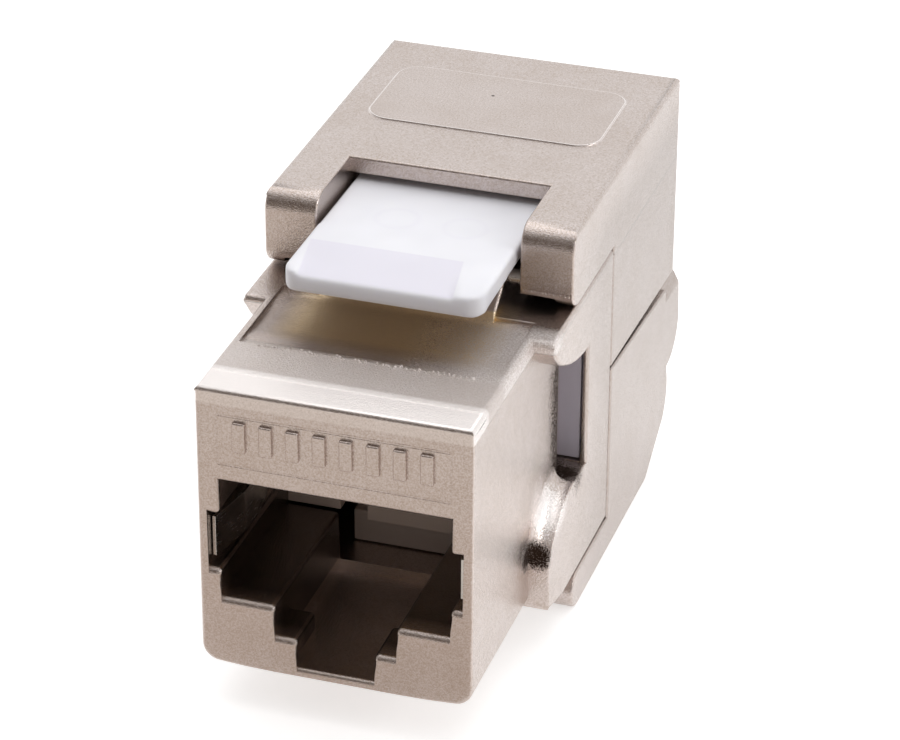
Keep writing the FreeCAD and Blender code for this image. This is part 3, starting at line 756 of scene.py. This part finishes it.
def nickel_casting(colours, grain):
    """Plated die casting: sandy grain, cloudy tone, small bright and dull specks."""
    material, t, shader, coords = material_base("satin_nickel_casting")
    cloud = t.noise(coords, 0.35 / MM, 2.0, 0.5)
    sand = t.noise(coords, 1.0 / grain, 3.0, 0.7)
    speck = t.noise(coords, 2.3 / grain, 1.0, 0.5)
    marks = casting_marks(t, coords, t.noise(coords, 1.4 / grain, 2.0, 0.6))
    blend = t.math("ADD", t.span(sand, 0.36, 0.60, 0.0, 0.8),
                   t.span(cloud, 0.35, 0.65, 0.0, 0.2))
    tone = t.mix(blend, rgba(colours.nickel_dull), rgba(colours.nickel))
    # Painted shade under the latch lever.
    tone = t.mix(marks["shade"], tone, rgba(colours.nickel_painted_shade))
    # Painted highlights.
    tone = t.mix(marks["gloss"], tone, rgba(colours.nickel_painted_highlight))
    # Dark patches, pits and mould line, and painted shade in the port and on the rear parts.
    t.put(shader.inputs["Base Color"], t.mix(marks["dark"], tone, rgba(colours.smudge)))
    t.put(shader.inputs["Metallic"], 1.0)
    rough = t.math("SUBTRACT", t.span(sand, 0.35, 0.65, 0.27, 0.20),
                   t.span(speck, 0.60, 0.70, 0.0, 0.08))
    rough = t.math("ADD", rough, t.times(marks["strip"], STRIP_ROUGHNESS))
    rough = t.math("ADD", rough, t.times(marks["smudge"], DARK_PATCH_ROUGHNESS), True)
    t.put(shader.inputs["Roughness"], rough)
    place = dict(zip("xyz", t.axes(coords)))
    crown = t.times(slope(t, place, "y", *CROWN_DEPTH), slope(t, place, "z", *CROWN_TOP))
    sunk = t.times(t.most(marks["mould"], marks["pits"]), -1.0)
    coarse = t.times(sand, t.most(marks["strip"], marks["smudge"]))
    normal = None
    for height, relief in ((crown, CROWN_RELIEF), (sunk, MOULD_RELIEF), (sand, SAND_RELIEF),
                           (coarse, COARSE_RELIEF), (speck, SPECK_RELIEF)):
        normal = t.bump(height, relief, 1.0, normal)
    t.put(shader.inputs["Normal"], normal)
    return material


def moulded_plastic(name, colour, rough):
    """Moulded plastic: faint cloud in its tone and a fine spark-eroded texture.

    Returns the material, its tree and object coordinates, the shader's colour and its tone."""
    material, t, shader, coords = material_base(name)
    cloud = t.noise(coords, 0.18 / MM, 2.0, 0.5)
    fine = t.noise(coords, 9.0 / MM, 2.0, 0.6)
    tone = t.mix(t.span(cloud, 0.35, 0.65), rgba(colour, PLASTIC_SHADE), rgba(colour))
    t.put(shader.inputs["Base Color"], tone)
    t.put(shader.inputs["Roughness"], t.span(fine, 0.3, 0.7, rough - 0.05, rough + 0.07))
    t.put(shader.inputs["Subsurface Weight"], 0.15)
    t.put(shader.inputs["Subsurface Radius"], (0.6, 0.6, 0.7))
    t.put(shader.inputs["Subsurface Scale"], 0.4 * MM)
    broad = t.bump(cloud, 0.03 * MM, 0.6)
    t.put(shader.inputs["Normal"], t.bump(fine, 0.002 * MM, 0.6, broad))
    return material, t, coords, shader.inputs["Base Color"], tone


def lever_plastic(colours):
    """The lever's plastic, with painted shade on its thumb facet and on two faint round sink marks.
    """
    material, t, coords, paint, tone = moulded_plastic("lever_plastic", colours.white,
                                                       LEVER_ROUGHNESS)
    x, y, z = t.axes(coords)
    facet_back = at(0, FACET["y"][1], 0).y
    lean = t.times(t.math("SUBTRACT", facet_back, y), FACET_SLANT)
    facet = t.times(zone(t, {"x": t.math("SUBTRACT", x, lean), "y": y}, FACET),
                    slope(t, {"z": z}, "z", *FACET_TOP))
    rings = []
    for place in RING_PLACES:
        disc, hole = (t.near(coords, at(*place), inner * MM, outer * MM)
                      for inner, outer in (RING_OUTER, RING_INNER))
        rings.append(t.times(disc, t.math("SUBTRACT", 1.0, hole)))
    # Painted shade on the thumb facet and on the two sink rings.
    shaded = t.mix(t.times(facet, FACET_SHADE_SHARE), tone, rgba(colours.shaded_white))
    t.put(paint, t.mix(t.times(t.most(*rings), RING_SHADE_SHARE), shaded, rgba(colours.shaded_white)))
    return material


def carrier_plastic(colours):
    """The contact carrier's plastic, with painted shade making it browner between the housing's
    walls.
    """
    material, t, coords, paint, tone = moulded_plastic("carrier_plastic", colours.shaded_white,
                                                       CARRIER_ROUGHNESS)
    wide = t.math("ABSOLUTE", t.axes(coords)["X"])
    # Painted shade between the housing's walls.
    t.put(paint, t.mix(zone(t, {"x": wide}, {"x": INNER_WIDTH}), tone,
                       rgba(colours.carrier_painted_shade)))
    return material


def plated_metal(name, colour, rough):
    """Smooth plated strip metal with faint rolling marks."""
    material, t, shader, coords = material_base(name)
    stretched = t.out("ShaderNodeMapping", {"Scale": (1.0, 0.12, 1.0), "Vector": coords})
    lines = t.noise(stretched, 6.0 / MM, 3.0, 0.6)
    cloud = t.noise(coords, 0.6 / MM, 2.0, 0.5)
    t.put(shader.inputs["Base Color"],
          t.mix(t.span(cloud, 0.3, 0.7), rgba(colour, METAL_SHADE), rgba(colour)))
    t.put(shader.inputs["Roughness"], t.span(lines, 0.3, 0.7, rough - 0.05, rough + 0.10))
    t.put(shader.inputs["Metallic"], 1.0)
    t.put(shader.inputs["Normal"], t.bump(lines, 0.003 * MM, 0.7))
    return material


def board_laminate(colour):
    """Solder mask over a woven laminate, with buried copper showing a little lighter."""
    material, t, shader, coords = material_base("board_laminate")
    copper = t.add("ShaderNodeTexWave", {"Vector": coords, "Scale": 0.9 / MM, "Distortion": 2.0},
                   wave_type="BANDS", bands_direction="X").outputs["Fac"]
    weave = t.noise(coords, 3.0 / MM, 2.0, 0.5)
    t.put(shader.inputs["Base Color"],
          t.mix(t.span(copper, 0.72, 0.80), rgba(colour), rgba(colour, COPPER_TONE)))
    t.put(shader.inputs["Roughness"], t.span(weave, 0.3, 0.7, 0.28, 0.42))
    t.put(shader.inputs["Normal"], t.bump(weave, 0.006 * MM, 0.7))
    return material


def finish(name):
    """The material of one kind: one that is there already, or else a new one."""
    found = bpy.data.materials.get(name)
    if found:
        return found
    scene = bpy.context.scene
    colours = scene.jack_colours
    if name in METALS:
        colour, rough = METALS[name]
        return plated_metal(name, getattr(colours, colour), rough)
    makers = {
        "satin_nickel_casting": lambda: nickel_casting(colours, scene.jack_sizes.grain),
        "lever_plastic": lambda: lever_plastic(colours),
        "carrier_plastic": lambda: carrier_plastic(colours),
        "board_laminate": lambda: board_laminate(colours.board),
    }
    return makers[name]()


# ------------------------------------------------------------------ operators


class JACK_OT_castings(bpy.types.Operator):
    """Finish the front housing and the two rear covers as plated die castings"""
    bl_idname = "jack.castings"
    bl_label = "Castings"

    def execute(self, context):
        sizes = context.scene.jack_sizes
        for node in ("front_housing", "upper_cover", "lower_cover"):
            width = sizes.edge_block if node == "front_housing" else sizes.edge_cover
            dress(node, finish("satin_nickel_casting"), softened_copy(node, width, 3))
        return {"FINISHED"}


class JACK_OT_plastics(bpy.types.Operator):
    """Finish the latch lever and the moulded pieces inside"""
    bl_idname = "jack.plastics"
    bl_label = "Moulded pieces"

    def execute(self, context):
        sizes = context.scene.jack_sizes
        dress("latch_lever", finish("lever_plastic"),
              moulded_copy("latch_lever", sizes.melt_voxel, sizes.melt_rounds))
        finishes = {"insert_body": "carrier_plastic", "idc_block": FRAME_PLASTIC,
                    "wire_manager": FRAME_PLASTIC}
        for node, kind in finishes.items():
            dress(node, finish(kind), softened_copy(node, sizes.edge_plastic, 2))
        return {"FINISHED"}


class JACK_OT_metal_strips(bpy.types.Operator):
    """Finish the contacts, terminals, earthing springs and hinge pins"""
    bl_idname = "jack.metal_strips"
    bl_label = "Contacts, springs and pins"

    def execute(self, context):
        small = context.scene.jack_sizes.edge_small
        finishes = {"contact_": "gold_plating", "idc_terminal_": "tin_plating",
                    "ground_spring_": "bright_steel", "upper_hinge_pin": "bright_steel",
                    "lower_hinge_pin": "bright_steel"}
        for node in sorted(frame["nodes"]):
            for start, kind in finishes.items():
                if node.startswith(start):
                    dress(node, finish(kind), softened_copy(node, small, 2))
        return {"FINISHED"}


class JACK_OT_board(bpy.types.Operator):
    """Finish the circuit board"""
    bl_idname = "jack.board"
    bl_label = "Circuit board"

    def execute(self, context):
        dress("circuit_board", finish("board_laminate"),
              softened_copy("circuit_board", context.scene.jack_sizes.edge_small, 2))
        return {"FINISHED"}


def row_group(name, inputs):
    """A new Geometry Nodes group, its tree and its named inputs."""
    group = bpy.data.node_groups.new(name, "GeometryNodeTree")
    face = group.interface
    face.new_socket("Geometry", in_out="OUTPUT", socket_type="NodeSocketGeometry")
    for label, kind in inputs.items():
        face.new_socket(label, in_out="INPUT", socket_type="NodeSocket" + kind)
    t = Tree(group)
    given = t.add("NodeGroupInput").outputs
    return group, t, given


def row_end(t, copies, material, smooth=False):
    """Ends a group: the copies made real, shaded and given their material."""
    shape = t.out("GeometryNodeRealizeInstances", {"Geometry": copies})
    if smooth:
        shape = t.out("GeometryNodeSetShadeSmooth", {"Geometry": shape})
    paint = t.out("GeometryNodeSetMaterial", {"Geometry": shape, "Material": material})
    t.add("NodeGroupOutput", {"Geometry": paint})


def row_tree(material):
    """Geometry Nodes: a row of equal blocks, with its sizes as named inputs."""
    group, t, given = row_group("RowOfBars", {
        "Count": "Int", "Pitch": "Float", "Start": "Vector", "Size": "Vector"})
    step = t.out("ShaderNodeCombineXYZ", {"X": given["Pitch"]})
    line = t.out("GeometryNodeMeshLine", {
        "Count": given["Count"], "Start Location": given["Start"], "Offset": step}, mode="OFFSET")
    cube = t.out("GeometryNodeMeshCube", {"Size": given["Size"]})
    copies = t.out("GeometryNodeInstanceOnPoints", {"Points": line, "Instance": cube})
    row_end(t, copies, material)
    return group


def bead_tree(material):
    """Geometry Nodes: a line of small uneven beads, with its sizes as named inputs."""
    group, t, given = row_group("LineOfBeads", {
        "Count": "Int", "Start": "Vector", "Step": "Vector", "Scatter": "Vector",
        "Least": "Float", "Most": "Float", "Seed": "Int"})
    line = t.out("GeometryNodeMeshLine", {
        "Count": given["Count"], "Start Location": given["Start"], "Offset": given["Step"]},
        mode="OFFSET")
    back = t.out("ShaderNodeVectorMath", {"Vector": given["Scatter"], "Scale": -1.0},
                 operation="SCALE")
    stray = t.out("FunctionNodeRandomValue", {
        "Min": back, "Max": given["Scatter"], "Seed": given["Seed"]}, data_type="FLOAT_VECTOR")
    moved = t.out("GeometryNodeSetPosition", {"Geometry": line, "Offset": stray})
    ball = t.out("GeometryNodeMeshIcoSphere", {"Radius": 1.0, "Subdivisions": 2})
    size = t.out("FunctionNodeRandomValue", {
        "Min": given["Least"], "Max": given["Most"], "Seed": given["Seed"]}, data_type="FLOAT")
    copies = t.out("GeometryNodeInstanceOnPoints", {
        "Points": moved, "Instance": ball, "Scale": size})
    row_end(t, copies, material, smooth=True)
    return group


def run_nodes(obj, group, values):
    """Adds the tree to the object with the given inputs and makes the result its mesh."""
    modifier = obj.modifiers.new("Nodes", "NODES")
    modifier.node_group = group
    for item in group.interface.items_tree:
        if item.item_type == "SOCKET" and item.in_out == "INPUT" and item.name in values:
            modifier[item.identifier] = values[item.name]
    obj.update_tag()
    apply_modifiers(obj)


class JACK_OT_position_bars(bpy.types.Operator):
    """Raise a row of plain bars over the port, one for each contact position"""
    bl_idname = "jack.position_bars"
    bl_label = "Position bars"

    def execute(self, context):
        sizes = context.scene.jack_sizes
        material = finish("satin_nickel_casting")
        piece = new_object("position_bars", bpy.data.meshes.new("position_bars"))
        sunk = edge = 0.1 * MM
        depth = sizes.mark_relief + sunk
        start = ((1 - sizes.mark_count) / 2 * sizes.mark_pitch,
                 HOUSING_FRONT + depth / 2 - sizes.mark_relief,
                 BLOCK_BOTTOM + sizes.mark_rise)
        run_nodes(piece, row_tree(material),
                  {"Count": sizes.mark_count, "Pitch": sizes.mark_pitch, "Start": start,
                   "Size": (sizes.mark_width, depth, sizes.mark_height)})
        bevel = piece.modifiers.new("Edge", "BEVEL")
        bevel.width = edge
        bevel.segments = 3
        apply_modifiers(piece)
        shade_soft(piece)
        give_material(piece, material)
        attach(piece, "housing")
        return {"FINISHED"}


def bead_line(name, node, start, end, count, stray, least, greatest, seed):
    """A line of casting beads from start to end that rides with a frame solid."""
    material = finish("satin_nickel_casting")
    piece = new_object(name, bpy.data.meshes.new(name))
    group = bpy.data.node_groups.get("LineOfBeads") or bead_tree(material)
    run_nodes(piece, group, {"Count": count, "Start": start, "Step": (end - start) / (count - 1),
                             "Scatter": stray, "Least": least, "Most": greatest, "Seed": seed})
    give_material(piece, material)
    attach(piece, body_holding(node))


class JACK_OT_casting_beads(bpy.types.Operator):
    """Line the ridge on the block's top and the right ear's front with small casting beads"""
    bl_idname = "jack.casting_beads"
    bl_label = "Casting beads"

    def execute(self, context):
        bead_line("ridge_beads", "front_housing", at(-5.7, 5.0, 15.98), at(5.7, 5.0, 15.98),
                  count=96, stray=(0.1 * MM, 0.16 * MM, 0.0), least=0.03 * MM,
                  greatest=0.10 * MM, seed=3)
        bead_line("ear_beads", "upper_cover", at(5.8, 13.11, 16.95), at(8.1, 13.11, 16.95),
                  count=13, stray=(0.05 * MM, 0.0, 0.03 * MM), least=0.03 * MM,
                  greatest=0.08 * MM, seed=8)
        return {"FINISHED"}


# ------------------------------------------------------------------ stage


def pale_floor(stage):
    """Floor that shows white to the eye, warmer in front in reflections, with a shadow."""
    material = bpy.data.materials.new("pale_floor")
    t = new_tree(material)
    path = t.add("ShaderNodeLightPath").outputs
    seen = t.math("ADD", path["Is Camera Ray"], path["Is Glossy Ray"], True)
    seen = t.math("ADD", seen, path["Is Transmission Ray"], True)
    depth = t.axes(t.add("ShaderNodeTexCoord").outputs["Object"])["Y"]
    near = t.span(depth, stage.far_edge, stage.near_edge)
    tone = t.mix(near, rgba(stage.far_tone), rgba(stage.front_tone))
    gleam = t.mix(near, rgba(stage.far_glow), rgba(stage.front_glow))
    under = t.span(depth, stage.front_edge - stage.front_fade, stage.front_edge)
    whole = t.math("ADD", under, path["Is Camera Ray"], True)
    rear = t.span(depth, stage.rear_edge, stage.rear_edge + stage.rear_fade,
                  1.0, 1.0 - stage.rear_loss)
    level = t.times(seen, stage.floor_glow, t.math("MAXIMUM", rear, path["Is Camera Ray"]))
    diffuse = t.out("ShaderNodeBsdfDiffuse", {"Color": t.mix(whole, tone, FLOOR_PAINT)})
    glow = t.out("ShaderNodeEmission", {
        "Color": t.mix(whole, gleam, FULL_WHITE), "Strength": level})
    both = t.add("ShaderNodeAddShader")
    t.put(both.inputs[0], diffuse)
    t.put(both.inputs[1], glow)
    t.add("ShaderNodeOutputMaterial", {"Surface": both.outputs[0]})
    return material


def studio_world(stage):
    """White studio behind and above, a dark warm room in front that is paler on both sides.

    The eye sees plain white. The white behind the overhead lamp is partly left out of mirrored
    rays, because the lamp adds its own."""
    world = bpy.data.worlds.new("studio")
    bpy.context.scene.world = world
    t = new_tree(world)
    path = t.add("ShaderNodeLightPath").outputs
    x, y, z = t.axes(t.add("ShaderNodeTexCoord").outputs["Generated"])
    mirrored = t.math("SUBTRACT", 1.0, path["Is Diffuse Ray"])
    lit = t.math("ADD", t.span(y, *BEHIND), t.span(z, *ABOVE), True)
    aside = t.math("ABSOLUTE", t.math("SUBTRACT", x, ROOM_MIDDLE))
    paler = t.times(t.span(aside, *ASIDE, 0.0, stage.side_tone), mirrored)
    lit = t.math("MAXIMUM", lit, paler)
    behind_lamp = t.span(z, *BEHIND_LAMP, 0.0, stage.lamp_shade)
    lit = t.math("SUBTRACT", lit, t.times(behind_lamp, mirrored), True)
    lit = t.math("ADD", lit, t.times(path["Is Diffuse Ray"], stage.room_fill), True)
    white = t.math("ADD", lit, path["Is Camera Ray"], True)
    back = t.out("ShaderNodeBackground", {
        "Color": t.mix(white, rgba(stage.room_tone), FULL_WHITE)})
    t.add("ShaderNodeOutputWorld", {"Surface": back})


def area_light(name, power, size, place):
    """A round soft light that shines on the middle of the jack."""
    light = bpy.data.lights.new(name, "AREA")
    light.energy = power
    light.shape = "DISK"
    light.size = size
    look = Vector(LIGHT_TARGET) - Vector(place)
    turn = look.to_track_quat("-Z", "Y").to_matrix().to_4x4()
    new_object(name, light).matrix_world = Matrix.Translation(place) @ turn


def studio_camera():
    """Camera at the usual three-quarter view, a little above, from the right."""
    azimuth, elevation, roll = (math.radians(angle) for angle in CAMERA_TURN)
    back = Vector((math.sin(azimuth) * math.cos(elevation),
                   -math.cos(azimuth) * math.cos(elevation), math.sin(elevation)))
    data = bpy.data.cameras.new("studio_camera")
    data.sensor_width = CAMERA_SENSOR
    data.lens = CAMERA_LENS
    data.clip_start = CAMERA_NEAR
    camera = new_object("studio_camera", data)
    turn = (-back).to_track_quat("-Z", "Y").to_matrix().to_4x4()
    camera.matrix_world = (Matrix.Translation(CAMERA_AIM + back * CAMERA_DISTANCE) @ turn
                           @ Matrix.Rotation(roll, 4, "Z"))
    bpy.context.scene.camera = camera


class JACK_OT_stage(bpy.types.Operator):
    """Set the pale floor, the soft studio light and the camera"""
    bl_idname = "jack.stage"
    bl_label = "Stage"

    def execute(self, context):
        stage = context.scene.jack_stage
        bm = bmesh.new()
        bmesh.ops.create_circle(bm, cap_ends=True, segments=FLOOR_SIDES, radius=stage.floor_size)
        mesh = bpy.data.meshes.new("floor")
        bm.to_mesh(mesh)
        bm.free()
        mesh.transform(Matrix.Translation((0, 0, FRAME_BOX[0][2])))
        floor = new_object("floor", mesh)
        give_material(floor, pale_floor(stage))
        area_light("key_light", stage.key_power, stage.key_size, KEY_PLACE)
        area_light("side_light", stage.side_power, SIDE_SIZE, SIDE_PLACE)
        studio_world(stage)
        studio_camera()
        context.scene.view_settings.view_transform = "Standard"
        return {"FINISHED"}


class JACK_PT_panel(bpy.types.Panel):
    """Lists the steps that dress the jack"""
    bl_idname = "JACK_PT_panel"
    bl_label = "Keystone Jack"
    bl_space_type = "VIEW_3D"
    bl_region_type = "UI"
    bl_category = "Keystone Jack"

    def draw(self, context):
        for operator in STEPS:
            self.layout.operator(operator.bl_idname)


GROUPS = {"jack_sizes": JackSizes, "jack_colours": JackColours, "jack_stage": StageSizes}
STEPS = (JACK_OT_castings, JACK_OT_plastics, JACK_OT_metal_strips, JACK_OT_board,
         JACK_OT_position_bars, JACK_OT_casting_beads, JACK_OT_stage)


def register():
    for name, group in GROUPS.items():
        bpy.utils.register_class(group)
        setattr(bpy.types.Scene, name, PointerProperty(type=group))
    for operator in STEPS:
        bpy.utils.register_class(operator)
    bpy.utils.register_class(JACK_PT_panel)


def unregister():
    bpy.utils.unregister_class(JACK_PT_panel)
    for operator in reversed(STEPS):
        bpy.utils.unregister_class(operator)
    for name, group in GROUPS.items():
        delattr(bpy.types.Scene, name)
        bpy.utils.unregister_class(group)


def main():
    register()
    for operator in STEPS:
        area, action = operator.bl_idname.split(".")
        getattr(getattr(bpy.ops, area), action)()


if __name__ == "__main__":
    main()
